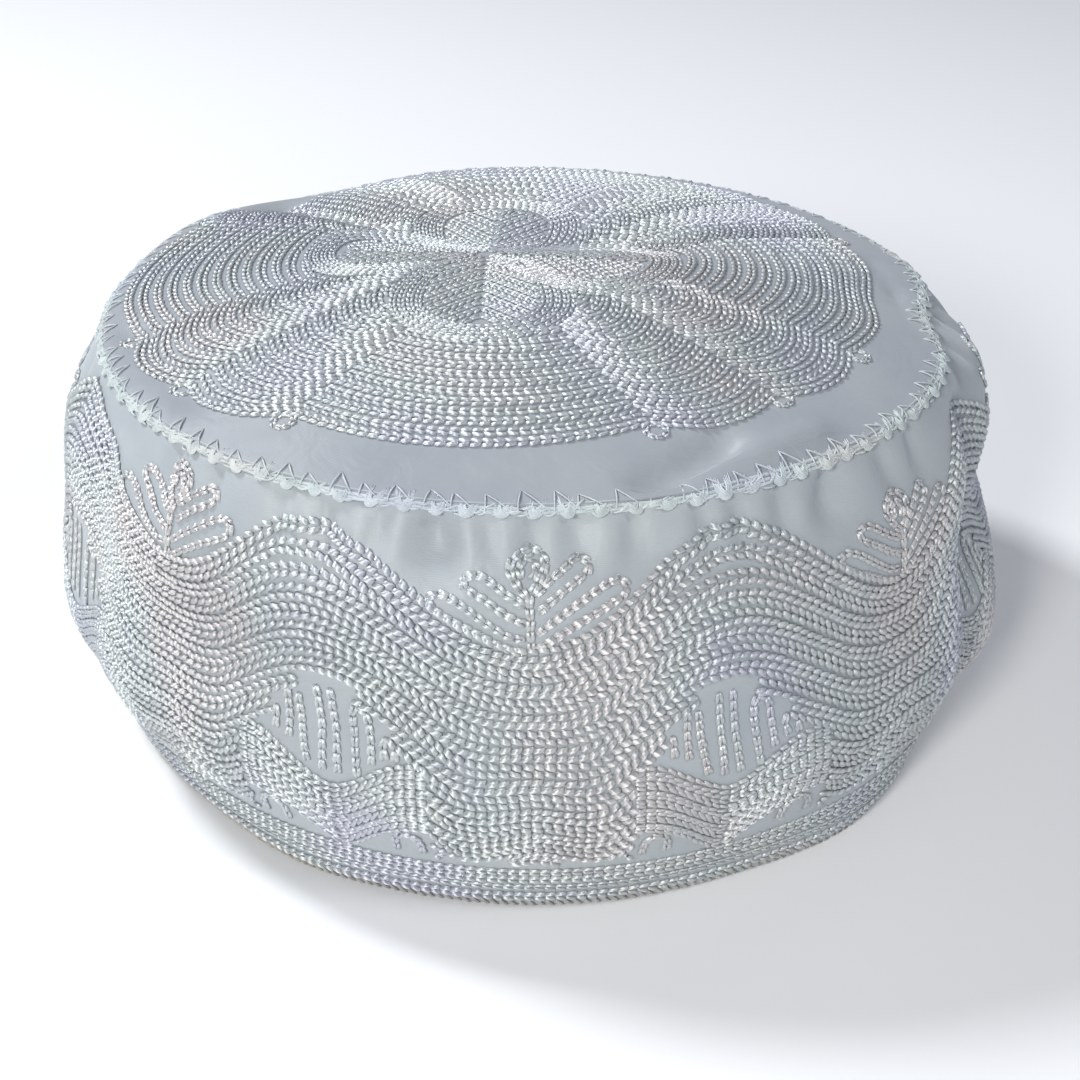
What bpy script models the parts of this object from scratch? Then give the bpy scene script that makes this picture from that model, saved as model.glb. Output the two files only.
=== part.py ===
"""A soft prayer cap: a round crown panel of cloth sewn to an upright side band.

The cap stands on its hem at z = 0 and its front faces -Y. Sizes are in metres, +Z is up.
Azimuths are in degrees, from the front of the cap round towards +X.
A share of height runs from 0 at the hem to 1 at the seam under the crown.
A reach runs from 0 at the middle of the crown to 1 at the seam.
"""

import math
from collections import namedtuple

import bmesh
import bpy
from mathutils import Vector

# The hem, the opening that goes over the head
HEM_HALF_WIDTH = 0.0918
HEM_HALF_DEPTH = 0.0895
HEM_SHIFT_X = 0.0009
HEM_SHIFT_Y = -0.0004
HEM_DIAGONAL_PULL = 0.019

# The seam where the crown panel meets the side band, as a ring that leans a little
SEAM_HALF_WIDTH = 0.0850
SEAM_HALF_DEPTH = 0.0815
SEAM_HEIGHT = 0.0805
SEAM_SHIFT_X = -0.0017
SEAM_SHIFT_Y = 0.0007
SEAM_FRONT_RISE = 0.0007
SEAM_RIGHT_RISE = 0.0007

# The crown panel rises over the seam as a flat dome with a rounded edge
CROWN_RISE = 0.0097
CROWN_FLATNESS = 2.63

# Cloth: lined and embroidered, turned up at the hem, turned down inside at the seam
CLOTH_THICKNESS = 0.0020
HEM_THICKNESS = 0.0030
HEM_TURN_SHARE = 0.11
HEM_CORNER = 0.0006
SEAM_LIP = 0.0010
SEAM_ALLOWANCE = 0.0060
PIECE_GAP = 0.0003

# How finely the walls are divided
SECTIONS_AROUND = 96
OUTER_WALL_STEPS = 17
INNER_WALL_STEPS = 8
CROWN_TOP_STEPS = 15
CROWN_UNDERSIDE_STEPS = 11

# The bulge of the side band beyond a straight line from hem to seam
BandSwell = namedtuple("BandSwell", "share outward")
BAND_SWELLS = [
    BandSwell(0.00, 0.0000),
    BandSwell(0.15, 0.0051),
    BandSwell(0.35, 0.0106),
    BandSwell(0.60, 0.0079),
    BandSwell(0.80, 0.0073),
    BandSwell(0.92, 0.0035),
    BandSwell(1.00, 0.0000),
]

# Broad dents of the side band; a negative depth bulges outwards
BandDent = namedtuple("BandDent", "name azimuth share half_width half_height depth")
BAND_DENTS = [
    BandDent("right side hollow", 77, 0.56, 12, 0.15, 0.0034),
    BandDent("right hem nick", 67, 0.03, 7, 0.12, 0.0032),
    BandDent("right shoulder bulge", 95, 0.88, 24, 0.10, -0.0026),
    BandDent("front right hem bulge", 42, 0.02, 12, 0.15, -0.0025),
    BandDent("front left hem bulge", -27, 0.02, 11, 0.12, -0.0014),
    BandDent("left side bulge", -76, 0.62, 12, 0.15, -0.0010),
    BandDent("left low bulge", -72, 0.25, 16, 0.10, -0.0010),
    BandDent("right low bulge", 76, 0.22, 11, 0.09, -0.0028),
    BandDent("back left hollow", -140, 0.45, 20, 0.25, 0.0020),
    BandDent("back right bulge", 150, 0.50, 22, 0.25, -0.0012),
]

# Long upright folds of the side band, each from its foot up to its top
BandFold = namedtuple("BandFold", "name foot_azimuth foot_share top_azimuth top_share half_width depth")
BAND_FOLDS = [
    BandFold("right side crease", 61, 0.00, 70, 0.90, 4.5, 0.0030),
    BandFold("left side crease", -64, 0.10, -58, 0.88, 5.0, 0.0013),
    BandFold("back crease", 168, 0.05, 172, 0.80, 6.0, 0.0014),
]
FOLD_FADE_SHARE = 0.06

# Short gathers of the side band just under the seam
Gather = namedtuple("Gather", "azimuth half_width depth")
GATHERS = [
    Gather(-49, 3.6, 0.0009),
    Gather(-30, 3.4, 0.0007),
    Gather(-10, 3.4, 0.0012),
    Gather(1, 3.2, 0.0007),
    Gather(15, 3.4, 0.0011),
    Gather(38, 4.0, 0.0013),
    Gather(55, 3.6, 0.0008),
    Gather(112, 4.0, 0.0010),
    Gather(146, 3.6, 0.0009),
    Gather(-171, 4.0, 0.0011),
    Gather(-133, 3.6, 0.0009),
    Gather(-96, 4.0, 0.0010),
]
GATHER_LOW_SHARE = 0.80
GATHER_HIGH_SHARE = 0.98

# Places where the seam ring is drawn in or lifted
SeamDent = namedtuple("SeamDent", "name azimuth half_width depth lift")
SEAM_DENTS = [
    SeamDent("right side tuck", 87, 11, 0.0052, 0.0000),
    SeamDent("back left lift", -118, 15, 0.0000, 0.0018),
    SeamDent("back left dip", -146, 13, 0.0012, -0.0012),
]
SEAM_DENT_REACH = 0.60
SEAM_DENT_SHARE = 0.88

# Valleys of the crown panel, each along a line in plan; a negative depth is a ridge
CrownFold = namedtuple("CrownFold", "name from_x from_y to_x to_y half_width depth")
CROWN_FOLDS = [
    CrownFold("middle valley", -0.028, 0.0150, 0.024, 0.0140, 0.0090, 0.0028),
    CrownFold("back left valley", -0.060, 0.052, -0.036, 0.030, 0.0075, 0.0040),
    CrownFold("front rise", -0.030, -0.014, 0.024, -0.008, 0.0130, -0.0012),
    CrownFold("back rise", -0.020, 0.050, 0.028, 0.048, 0.0150, -0.0008),
]
FOLD_FREE_REACH = 0.90
FOLD_HELD_REACH = 0.97

PanelFinish = namedtuple("PanelFinish", "name colour roughness")
CROWN_FINISH = PanelFinish("crown_satin", (0.60, 0.64, 0.73, 1.0), 0.50)
BAND_FINISH = PanelFinish("band_satin", (0.64, 0.67, 0.72, 1.0), 0.50)


def hump(distance, half_width):
    """A soft hump that is 1 at its middle and dies away past its half width."""
    return math.exp(-((distance / half_width) ** 2))


def ramp(value, start, end):
    """Rise smoothly from 0 at start to 1 at end."""
    part = min(1.0, max(0.0, (value - start) / (end - start)))
    return part * part * (3 - 2 * part)


def turn_from(azimuth, centre):
    """The shorter way round from one azimuth to another, in degrees."""
    return (azimuth - centre + 180) % 360 - 180


def swell_at(share):
    """The band's bulge at a share of its height, on a smooth curve through its rows."""
    rows = BAND_SWELLS
    last = len(rows) - 1
    slopes = []
    for index in range(last + 1):
        before = rows[max(0, index - 1)]
        after = rows[min(last, index + 1)]
        slopes.append((after.outward - before.outward) / (after.share - before.share))
    index = 0
    while index < last - 1 and share > rows[index + 1].share:
        index += 1
    low, high = rows[index], rows[index + 1]
    span = high.share - low.share
    u = (share - low.share) / span
    return (
        (1 + 2 * u) * (1 - u) ** 2 * low.outward
        + u * (1 - u) ** 2 * span * slopes[index]
        + u * u * (3 - 2 * u) * high.outward
        + u * u * (u - 1) * span * slopes[index + 1]
    )


def outward(azimuth):
    """The level direction that points out of the cap at an azimuth."""
    angle = math.radians(azimuth)
    return Vector((math.sin(angle), -math.cos(angle), 0))


def hem_point(azimuth):
    """The outer corner of the hem."""
    way = outward(azimuth)
    pull = 1 - HEM_DIAGONAL_PULL * (2 * way.x * way.y) ** 2
    return Vector((
        HEM_SHIFT_X + HEM_HALF_WIDTH * way.x * pull,
        HEM_SHIFT_Y + HEM_HALF_DEPTH * way.y * pull,
        0,
    ))


def seam_point(azimuth):
    """The seam ring before it is drawn in anywhere."""
    way = outward(azimuth)
    height = SEAM_HEIGHT - SEAM_FRONT_RISE * way.y + SEAM_RIGHT_RISE * way.x
    height += sum(dent.lift * hump(turn_from(azimuth, dent.azimuth), dent.half_width) for dent in SEAM_DENTS)
    return Vector((SEAM_SHIFT_X + SEAM_HALF_WIDTH * way.x, SEAM_SHIFT_Y + SEAM_HALF_DEPTH * way.y, height))


def seam_draw(azimuth):
    """How far the seam ring is drawn in at an azimuth."""
    return sum(dent.depth * hump(turn_from(azimuth, dent.azimuth), dent.half_width) for dent in SEAM_DENTS)


def band_depth(azimuth, share):
    """How far the side band is pushed in by its dents, folds and gathers."""
    depth = seam_draw(azimuth) * ramp(share, SEAM_DENT_SHARE, 1)
    for dent in BAND_DENTS:
        beside = hump(turn_from(azimuth, dent.azimuth), dent.half_width)
        depth += dent.depth * beside * hump(share - dent.share, dent.half_height)
    for fold in BAND_FOLDS:
        along = (share - fold.foot_share) / (fold.top_share - fold.foot_share)
        along = min(1.0, max(0.0, along))
        line = fold.foot_azimuth + (fold.top_azimuth - fold.foot_azimuth) * along
        above = ramp(fold.top_share + FOLD_FADE_SHARE - share, 0, FOLD_FADE_SHARE)
        below = ramp(share - fold.foot_share + FOLD_FADE_SHARE, 0, FOLD_FADE_SHARE)
        depth += fold.depth * above * below * hump(turn_from(azimuth, line), fold.half_width)
    if GATHER_LOW_SHARE < share < GATHER_HIGH_SHARE:
        part = (share - GATHER_LOW_SHARE) / (GATHER_HIGH_SHARE - GATHER_LOW_SHARE)
        for gather in GATHERS:
            beside = hump(turn_from(azimuth, gather.azimuth), gather.half_width)
            depth += gather.depth * beside * math.sin(math.pi * part) ** 2
    return depth


def band_point(azimuth, share, inset):
    """A point of the side band, inset into the cloth from its outer face."""
    straight = hem_point(azimuth).lerp(seam_point(azimuth), share)
    out = swell_at(share) - band_depth(azimuth, share) - inset
    return straight + outward(azimuth) * out


def crown_rise(reach):
    """The height of the smooth dome over the seam."""
    return CROWN_RISE * (1 - reach ** CROWN_FLATNESS)


def distance_to_line(fold, x, y):
    """The distance in plan from a point to a fold's line."""
    start = Vector((fold.from_x, fold.from_y))
    along = Vector((fold.to_x, fold.to_y)) - start
    offset = Vector((x, y)) - start
    part = min(1.0, max(0.0, offset.dot(along) / along.length_squared))
    return (offset - along * part).length


def crown_point(azimuth, reach, drop):
    """A point of the crown panel, dropped below its upper face."""
    middle = Vector((SEAM_SHIFT_X, SEAM_SHIFT_Y, SEAM_HEIGHT))
    point = middle.lerp(seam_point(azimuth), reach)
    point -= outward(azimuth) * seam_draw(azimuth) * ramp(reach, SEAM_DENT_REACH, FOLD_HELD_REACH)
    free = 1 - ramp(reach, FOLD_FREE_REACH, FOLD_HELD_REACH)
    valley = sum(
        fold.depth * hump(distance_to_line(fold, point.x, point.y), fold.half_width)
        for fold in CROWN_FOLDS
    )
    point.z += crown_rise(reach) - valley * free - drop
    return point


def spread(count, start, end):
    """Evenly spaced values from start to end."""
    return [start + (end - start) * step / (count - 1) for step in range(count)]


def band_profile():
    """The section of the side band as (inset, share) corners, once round the cloth."""
    top_share = 1 - (SEAM_LIP + PIECE_GAP) / SEAM_HEIGHT
    corner_share = HEM_CORNER / SEAM_HEIGHT
    corners = [(0, share) for share in spread(OUTER_WALL_STEPS, top_share, corner_share)]
    corners += [(HEM_CORNER, 0), (HEM_THICKNESS - HEM_CORNER, 0)]
    corners += [(HEM_THICKNESS, share) for share in spread(3, corner_share, HEM_TURN_SHARE)]
    turned_share = HEM_TURN_SHARE + corner_share
    corners += [(CLOTH_THICKNESS, share) for share in spread(INNER_WALL_STEPS, turned_share, top_share)]
    return corners


def crown_profile():
    """The section of the crown panel as (reach, drop) corners, from its top to its underside."""

    def below_seam(reach, depth):
        return (reach, depth + crown_rise(reach))

    outer_reach = 1 - (CLOTH_THICKNESS + PIECE_GAP) / SEAM_HALF_DEPTH
    inner_reach = outer_reach - CLOTH_THICKNESS / SEAM_HALF_DEPTH
    allowance_depth = SEAM_LIP + SEAM_ALLOWANCE
    corners = [(reach, 0) for reach in spread(CROWN_TOP_STEPS, 0, 1)]
    corners += [below_seam(1, SEAM_LIP), below_seam(outer_reach, SEAM_LIP)]
    corners += [below_seam(outer_reach, allowance_depth), below_seam(inner_reach, allowance_depth)]
    corners += [(reach, CLOTH_THICKNESS) for reach in spread(CROWN_UNDERSIDE_STEPS, inner_reach, 0)]
    return corners


def cloth_material(finish):
    """A satin cloth finish."""
    material = bpy.data.materials.new(finish.name)
    material.use_nodes = True
    shader = material.node_tree.nodes["Principled BSDF"]
    shader.inputs["Base Color"].default_value = finish.colour
    shader.inputs["Roughness"].default_value = finish.roughness
    shader.inputs["Metallic"].default_value = 0.0
    return material


def turned_cloth(name, section, is_ring, place, finish, collection):
    """Spin a cloth section round the axis, then move each point to its place on the cap.

    The section's corners are (radius, height) pairs. A ring's section is closed, and any
    other section runs from the axis out and back to the axis.
    """
    shape = bmesh.new()
    corners = [shape.verts.new((radius, 0, height)) for radius, height in section]
    edges = [shape.edges.new(pair) for pair in zip(corners, corners[1:])]
    if is_ring:
        edges.append(shape.edges.new((corners[-1], corners[0])))
    bmesh.ops.spin(
        shape, geom=corners + edges, cent=(0, 0, 0), axis=(0, 0, 1),
        angle=2 * math.pi, steps=SECTIONS_AROUND, use_merge=True,
    )
    bmesh.ops.remove_doubles(shape, verts=shape.verts, dist=0.00001)
    for vertex in shape.verts:
        x, y, height = vertex.co
        vertex.co = place(math.degrees(math.atan2(x, -y)), math.hypot(x, y), height)
    bmesh.ops.recalc_face_normals(shape, faces=shape.faces)
    mesh = bpy.data.meshes.new(name)
    shape.to_mesh(mesh)
    shape.free()
    mesh.shade_smooth()
    mesh.set_sharp_from_angle(angle=math.radians(50))
    mesh.materials.append(cloth_material(finish))
    panel = bpy.data.objects.new(name, mesh)
    collection.objects.link(panel)
    return panel


def build_side_band(collection):
    """The upright band, whose stand-in section keeps the inset as 1 less the radius."""

    def place(azimuth, radius, height):
        return band_point(azimuth, height, 1 - radius)

    section = [(1 - inset, share) for inset, share in band_profile()]
    return turned_cloth("side_band", section, True, place, BAND_FINISH, collection)


def build_crown_panel(collection):
    """The round top with its seam allowance turned down inside the band."""

    def place(azimuth, radius, height):
        return crown_point(azimuth, radius, -height)

    section = [(reach, -drop) for reach, drop in crown_profile()]
    return turned_cloth("crown_panel", section, False, place, CROWN_FINISH, collection)


for existing in list(bpy.data.objects):
    bpy.data.objects.remove(existing, do_unlink=True)

cap = bpy.data.collections.new("prayer_cap")
bpy.context.scene.collection.children.link(cap)
build_side_band(cap)
build_crown_panel(cap)
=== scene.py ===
"""The look of an embroidered satin prayer cap, sewn up over its CAD frame.

Metres, +Z up, the front of the cap faces -Y. Azimuths are degrees from the front towards +X.
A share runs up the side band from 0 at the hem to 1 at the seam, and a reach runs over the
crown from 0 at its middle to 1 at the seam.
"""

import math
from collections import namedtuple

import bpy
import numpy as np
from mathutils import Matrix, Vector


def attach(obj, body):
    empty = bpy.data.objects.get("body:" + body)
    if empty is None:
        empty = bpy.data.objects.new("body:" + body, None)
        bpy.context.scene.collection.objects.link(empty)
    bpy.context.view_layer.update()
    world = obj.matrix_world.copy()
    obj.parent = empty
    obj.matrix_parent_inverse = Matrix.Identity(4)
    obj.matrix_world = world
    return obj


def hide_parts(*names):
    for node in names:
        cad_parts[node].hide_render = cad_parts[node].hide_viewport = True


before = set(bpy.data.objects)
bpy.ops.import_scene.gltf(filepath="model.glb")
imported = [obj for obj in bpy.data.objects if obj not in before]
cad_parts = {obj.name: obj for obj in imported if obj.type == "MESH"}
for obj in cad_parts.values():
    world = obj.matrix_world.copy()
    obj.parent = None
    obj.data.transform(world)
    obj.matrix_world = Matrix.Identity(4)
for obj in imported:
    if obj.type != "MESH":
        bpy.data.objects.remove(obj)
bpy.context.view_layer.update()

# The side band is one long strip of satin with a lining behind it, sewn into an upright ring.
# It bulges out over the head, turns in at the shoulder, and is folded up inside as the hem.
# Its dents, long folds and short gathers come from wear and from the seam that pulls it in.
HEM_HALF_WIDTH = 0.0918
HEM_HALF_DEPTH = 0.0895
HEM_SHIFT_X = 0.0009
HEM_SHIFT_Y = -0.0004
HEM_DIAGONAL_PULL = 0.019
SEAM_HALF_WIDTH = 0.0850
SEAM_HALF_DEPTH = 0.0815
SEAM_HEIGHT = 0.0805
SEAM_SHIFT_X = -0.0017
SEAM_SHIFT_Y = 0.0007
SEAM_FRONT_RISE = 0.0007
SEAM_RIGHT_RISE = 0.0007
CLOTH_THICKNESS = 0.0020
HEM_THICKNESS = 0.0030
HEM_TURN_SHARE = 0.11
HEM_CORNER = 0.0006
SEAM_LIP = 0.0010
PIECE_GAP = 0.0003
HEM_CORNER_ROUNDING = 0.3
BAND_SECTIONS = 384
BAND_OUTER_ROWS = 66
BAND_HEM_ROWS = 4
BAND_INNER_ROWS = 18
SHARP_EDGE_DEGREES = 60
BAND_FLAT_CUT = (0.600, 0.094)
BAND_COLOUR = (0.42, 0.455, 0.465, 1.0)
BAND_SHADOW_COLOUR = (0.355, 0.39, 0.415, 1.0)

SWELL_SHARES = (0.00, 0.15, 0.35, 0.60, 0.80, 0.92, 1.00)
SWELLS_OUT = (0.0000, 0.0051, 0.0106, 0.0079, 0.0073, 0.0035, 0.0000)

BandDent = namedtuple("BandDent", "azimuth share half_width half_height depth")
BAND_DENTS = [
    BandDent(77, 0.56, 12, 0.15, 0.0034),
    BandDent(67, 0.03, 7, 0.12, 0.0032),
    BandDent(95, 0.88, 24, 0.10, -0.0026),
    BandDent(42, 0.02, 12, 0.15, -0.0025),
    BandDent(-27, 0.02, 11, 0.12, -0.0014),
    BandDent(-76, 0.62, 12, 0.15, -0.0010),
    BandDent(-72, 0.25, 16, 0.10, -0.0010),
    BandDent(76, 0.22, 11, 0.09, -0.0028),
    BandDent(-140, 0.45, 20, 0.25, 0.0020),
    BandDent(150, 0.50, 22, 0.25, -0.0012),
]

BandFold = namedtuple("BandFold", "foot_azimuth foot_share top_azimuth top_share half_width depth")
BAND_FOLDS = [
    BandFold(61, 0.00, 70, 0.90, 4.5, 0.0030),
    BandFold(-64, 0.10, -58, 0.88, 5.0, 0.0013),
    BandFold(168, 0.05, 172, 0.80, 6.0, 0.0014),
]
FOLD_FADE_SHARE = 0.06

Gather = namedtuple("Gather", "azimuth half_width depth")
GATHERS = [
    Gather(-49, 3.6, 0.0009), Gather(-30, 3.4, 0.0007), Gather(-10, 3.4, 0.0012),
    Gather(1, 3.2, 0.0007), Gather(15, 3.4, 0.0011), Gather(38, 4.0, 0.0013),
    Gather(55, 3.6, 0.0008), Gather(112, 4.0, 0.0010), Gather(146, 3.6, 0.0009),
    Gather(-171, 4.0, 0.0011), Gather(-133, 3.6, 0.0009), Gather(-96, 4.0, 0.0010),
]
GATHER_LOW_SHARE = 0.80
GATHER_HIGH_SHARE = 0.98

# finer puckers of the plain cloth between the embroidery and the seam
Pucker = namedtuple("Pucker", "azimuth half_width depth lean")
PUCKERS = [
    Pucker(-44, 1.5, 0.0012, -1.0), Pucker(-37, 1.3, 0.0010, 1.0), Pucker(-28, 1.3, 0.0012, 1.0),
    Pucker(-22, 1.5, 0.0017, 1.5), Pucker(-15, 1.2, 0.0012, -1.5), Pucker(-9.5, 2.2, 0.0026, 1.5),
    Pucker(-3.5, 1.1, 0.0012, 1.0), Pucker(1.5, 1.4, 0.0018, 0.5), Pucker(6.5, 1.9, 0.0024, -0.5),
    Pucker(13, 1.3, 0.0018, -1.0), Pucker(20.5, 1.2, 0.0016, 1.0), Pucker(25, 1.4, 0.0016, 0.0),
    Pucker(31, 1.5, 0.0016, -1.0), Pucker(38.5, 2.2, 0.0024, -2.0), Pucker(47, 1.4, 0.0014, 1.0),
    Pucker(54, 1.5, 0.0014, 0.0),
]

# where the run of puckers starts again round the seam, and how each one deepens from its foot,
# fades towards the seam and narrows on its way up
PUCKER_RUN_TURNS = (0, 120, 235)
PUCKER_LOW_SHARE = 0.84
PUCKER_HIGH_SHARE = 0.985
PUCKER_DEEP_PART = 0.62
PUCKER_FADE_PART = 0.82
PUCKER_FOOT_SPREAD = 1.4
PUCKER_NARROWING = 0.5

SeamDent = namedtuple("SeamDent", "azimuth half_width depth lift")
SEAM_DENTS = [
    SeamDent(87, 11, 0.0052, 0.0000),
    SeamDent(-118, 15, 0.0000, 0.0018),
    SeamDent(-146, 13, 0.0012, -0.0012),
]
SEAM_DENT_REACH = 0.60
SEAM_DENT_SHARE = 0.88


def hump(distance, half_width):
    """A soft hump that is 1 at its middle and dies away past its half width."""
    return np.exp(-((distance / half_width) ** 2))


def ramp(value, start, end):
    """Rise smoothly from 0 at start to 1 at end."""
    part = np.clip((value - start) / (end - start), 0.0, 1.0)
    return part * part * (3 - 2 * part)


def turn_from(azimuth, centre):
    """The shorter way round from one azimuth to another, in degrees."""
    return (azimuth - centre + 180) % 360 - 180


def outward(azimuth):
    """The level direction out of the cap at each azimuth, as its x and y parts."""
    angle = np.radians(azimuth)
    return np.sin(angle), -np.cos(angle)


def swell_at(share):
    """The band's bulge, on a smooth curve through its measured rows."""
    at, out = np.array(SWELL_SHARES), np.array(SWELLS_OUT)
    row = np.arange(len(at))
    before, after = np.maximum(row - 1, 0), np.minimum(row + 1, len(at) - 1)
    slope = (out[after] - out[before]) / (at[after] - at[before])
    low = np.clip(np.searchsorted(at, share, side="left") - 1, 0, len(at) - 2)
    span = at[low + 1] - at[low]
    u = (share - at[low]) / span
    return (
        (1 + 2 * u) * (1 - u) ** 2 * out[low] + u * (1 - u) ** 2 * span * slope[low]
        + u * u * (3 - 2 * u) * out[low + 1] + u * u * (u - 1) * span * slope[low + 1]
    )


def seam_ring(azimuth):
    """The seam ring before it is drawn in anywhere."""
    way_x, way_y = outward(azimuth)
    height = SEAM_HEIGHT - SEAM_FRONT_RISE * way_y + SEAM_RIGHT_RISE * way_x
    for dent in SEAM_DENTS:
        height = height + dent.lift * hump(turn_from(azimuth, dent.azimuth), dent.half_width)
    return SEAM_SHIFT_X + SEAM_HALF_WIDTH * way_x, SEAM_SHIFT_Y + SEAM_HALF_DEPTH * way_y, height


def seam_draw(azimuth):
    """How far the seam ring is drawn in at each azimuth."""
    return sum(
        dent.depth * hump(turn_from(azimuth, dent.azimuth), dent.half_width) for dent in SEAM_DENTS
    )


def band_depth(azimuth, share):
    """How far the band is pushed in by its dents, folds, gathers and puckers."""
    depth = seam_draw(azimuth) * ramp(share, SEAM_DENT_SHARE, 1)
    for dent in BAND_DENTS:
        beside = hump(turn_from(azimuth, dent.azimuth), dent.half_width)
        depth = depth + dent.depth * beside * hump(share - dent.share, dent.half_height)
    for fold in BAND_FOLDS:
        along = np.clip((share - fold.foot_share) / (fold.top_share - fold.foot_share), 0, 1)
        line = fold.foot_azimuth + (fold.top_azimuth - fold.foot_azimuth) * along
        above = ramp(fold.top_share + FOLD_FADE_SHARE - share, 0, FOLD_FADE_SHARE)
        below = ramp(share - fold.foot_share + FOLD_FADE_SHARE, 0, FOLD_FADE_SHARE)
        depth = depth + fold.depth * above * below * hump(turn_from(azimuth, line), fold.half_width)
    part = np.clip((share - GATHER_LOW_SHARE) / (GATHER_HIGH_SHARE - GATHER_LOW_SHARE), 0, 1)
    for gather in GATHERS:
        beside = hump(turn_from(azimuth, gather.azimuth), gather.half_width)
        depth = depth + gather.depth * beside * np.sin(math.pi * part) ** 2
    part = np.clip((share - PUCKER_LOW_SHARE) / (PUCKER_HIGH_SHARE - PUCKER_LOW_SHARE), 0, 1)
    drawn = ramp(part, 0, PUCKER_DEEP_PART) * (1 - ramp(part, PUCKER_FADE_PART, 1))
    for run_turn in PUCKER_RUN_TURNS:
        for pucker in PUCKERS:
            line = pucker.azimuth + run_turn + pucker.lean * (1 - part)
            half_width = pucker.half_width * (PUCKER_FOOT_SPREAD - PUCKER_NARROWING * part)
            depth = depth + pucker.depth * hump(turn_from(azimuth, line), half_width) * drawn
    return depth


def on_band(azimuth, share, proud=0.0):
    """Points on the outer face of the side band, or proud of it."""
    azimuth, share = np.broadcast_arrays(np.asarray(azimuth, float), np.asarray(share, float))
    way_x, way_y = outward(azimuth)
    pull = 1 - HEM_DIAGONAL_PULL * (2 * way_x * way_y) ** 2
    hem_x = HEM_SHIFT_X + HEM_HALF_WIDTH * way_x * pull
    hem_y = HEM_SHIFT_Y + HEM_HALF_DEPTH * way_y * pull
    seam_x, seam_y, seam_z = seam_ring(azimuth)
    out = swell_at(share) - band_depth(azimuth, share) + proud
    return np.stack([
        hem_x + (seam_x - hem_x) * share + way_x * out,
        hem_y + (seam_y - hem_y) * share + way_y * out,
        seam_z * share,
    ], axis=-1)


def mesh_of(name, points, faces):
    """A mesh from arrays of points and faces, where every face has as many corners."""
    mesh = bpy.data.meshes.new(name)
    mesh.vertices.add(len(points))
    mesh.vertices.foreach_set("co", points.reshape(-1))
    mesh.loops.add(faces.size)
    mesh.loops.foreach_set("vertex_index", faces.reshape(-1))
    mesh.polygons.add(len(faces))
    mesh.polygons.foreach_set("loop_start", np.arange(len(faces)) * faces.shape[1])
    mesh.update(calc_edges=True)
    return mesh


def run_along(points):
    """How far along a line each of its points lies."""
    return np.concatenate([[0], np.cumsum(np.linalg.norm(np.diff(points, axis=0), axis=1))])


def wrapped_mesh(name, grid, flat_size):
    """A closed skin from a grid of points that goes round the cap and round the cloth's section."""
    around, along = grid.shape[:2]
    here, there = np.meshgrid(np.arange(around), np.arange(along), indexing="ij")
    next_round, next_along = (here + 1) % around, (there + 1) % along
    faces = np.stack([
        here * along + there, next_round * along + there,
        next_round * along + next_along, here * along + next_along,
    ], axis=-1).reshape(-1, 4)
    mesh = mesh_of(name, grid.reshape(-1, 3), faces)
    run = run_along(grid[0])
    run = np.append(run, run[-1])
    across = np.stack([here, here + 1, here + 1, here], axis=-1) * flat_size / around
    down = run[np.stack([there, there, there + 1, there + 1], axis=-1)]
    cut = mesh.uv_layers.new(name="cut")
    cut.data.foreach_set("uv", np.stack([across, down], axis=-1).reshape(-1))
    mesh.validate()
    mesh.shade_smooth()
    mesh.set_sharp_from_angle(angle=math.radians(SHARP_EDGE_DEGREES))
    return mesh


def add_texture(material, kind, coordinates, **settings):
    """A procedural texture in a material, laid over the piece by the given coordinates."""
    texture = material.node_tree.nodes.new(kind)
    for setting, value in settings.items():
        texture.inputs[setting].default_value = value
    material.node_tree.links.new(coordinates, texture.inputs["Vector"])
    return texture


def toned(material, texture, *stops):
    """The colour that a texture gives when it runs through colour stops, each a place and a colour."""
    tones = material.node_tree.nodes.new("ShaderNodeValToRGB")
    elements = tones.color_ramp.elements
    for element, (position, colour) in zip(elements, (stops[0], stops[-1])):
        element.position = position
        element.color = colour
    for position, colour in stops[1:-1]:
        elements.new(position).color = colour
    material.node_tree.links.new(texture.outputs["Fac"], tones.inputs["Fac"])
    return tones.outputs["Color"]


def raised(material, texture, strength, height):
    """A bump that a texture raises by up to a height in metres."""
    bump = material.node_tree.nodes.new("ShaderNodeBump")
    bump.inputs["Strength"].default_value = strength
    bump.inputs["Distance"].default_value = height
    material.node_tree.links.new(texture.outputs["Fac"], bump.inputs["Height"])
    return bump


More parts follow.
